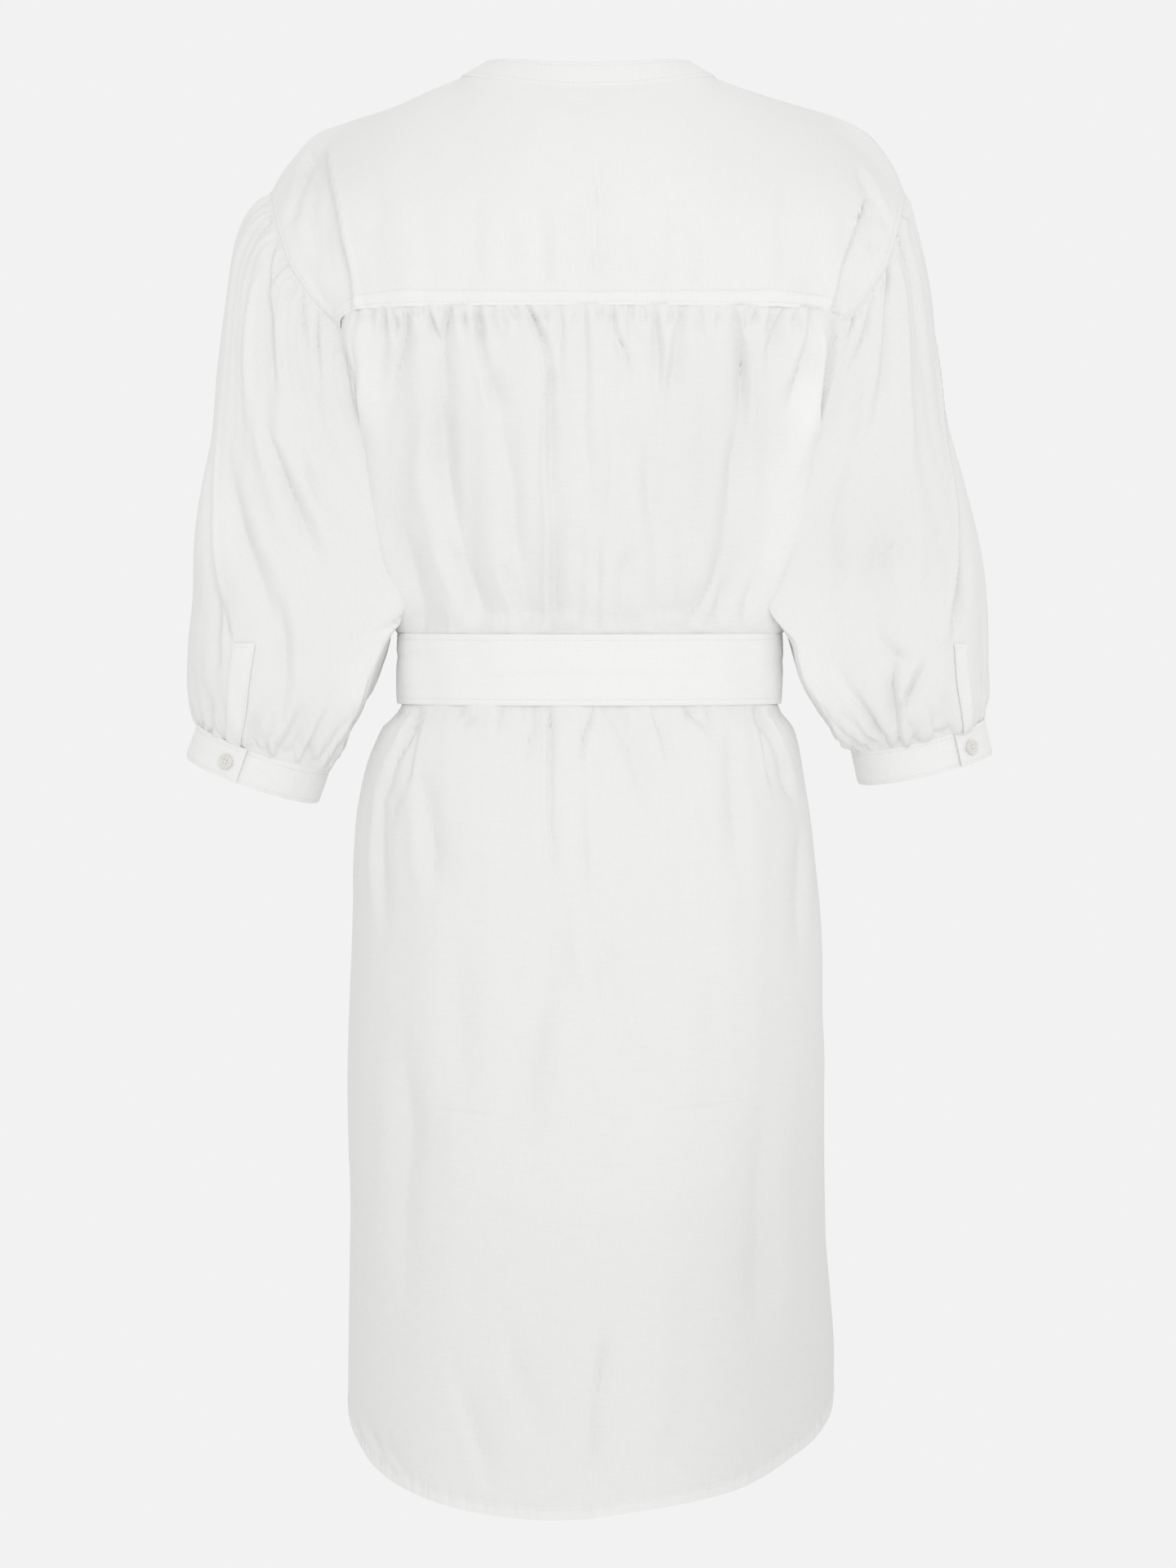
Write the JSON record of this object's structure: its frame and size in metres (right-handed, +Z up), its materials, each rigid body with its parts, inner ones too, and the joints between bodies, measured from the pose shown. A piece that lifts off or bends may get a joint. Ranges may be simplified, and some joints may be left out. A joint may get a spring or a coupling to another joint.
{
  "type": "shirt dress",
  "caption": "Knee-length shirt dress with a band collar, gathered back yoke, puffed three-quarter sleeves, wide tie belt and shirt-tail hem, filled out as if worn.",
  "frame": {"origin": "between the shoulders at the height where the dress hangs on its wearer, 22 mm below the neck seam at its sides", "axes": "+Z up, the front of the dress faces -Y, the back +Y, and the wearer's left is +X"},
  "size_m": [0.5812, 0.2642, 1.031],
  "materials": {
    "cotton": "matte",
    "button": "satin"
  },
  "bodies": {
    "root": {"yoke": "cotton", "back_panel": "cotton", "front_left": "cotton", "front_right": "cotton", "front_placket": "cotton", "collar_band": "cotton", "sleeve_left": "cotton", "sleeve_right": "cotton", "sleeve_placket_left": "cotton", "sleeve_placket_right": "cotton", "cuff_left": "cotton", "cuff_right": "cotton", "belt": "cotton", "belt_knot": "cotton", "belt_tail_left": "cotton", "belt_tail_right": "cotton", "front_button_1": "button", "front_button_2": "button", "front_button_3": "button", "front_button_4": "button", "front_button_5": "button", "front_button_6": "button", "front_button_7": "button", "front_button_8": "button", "cuff_button_left": "button", "cuff_button_right": "button"}
  },
  "joints": []
}
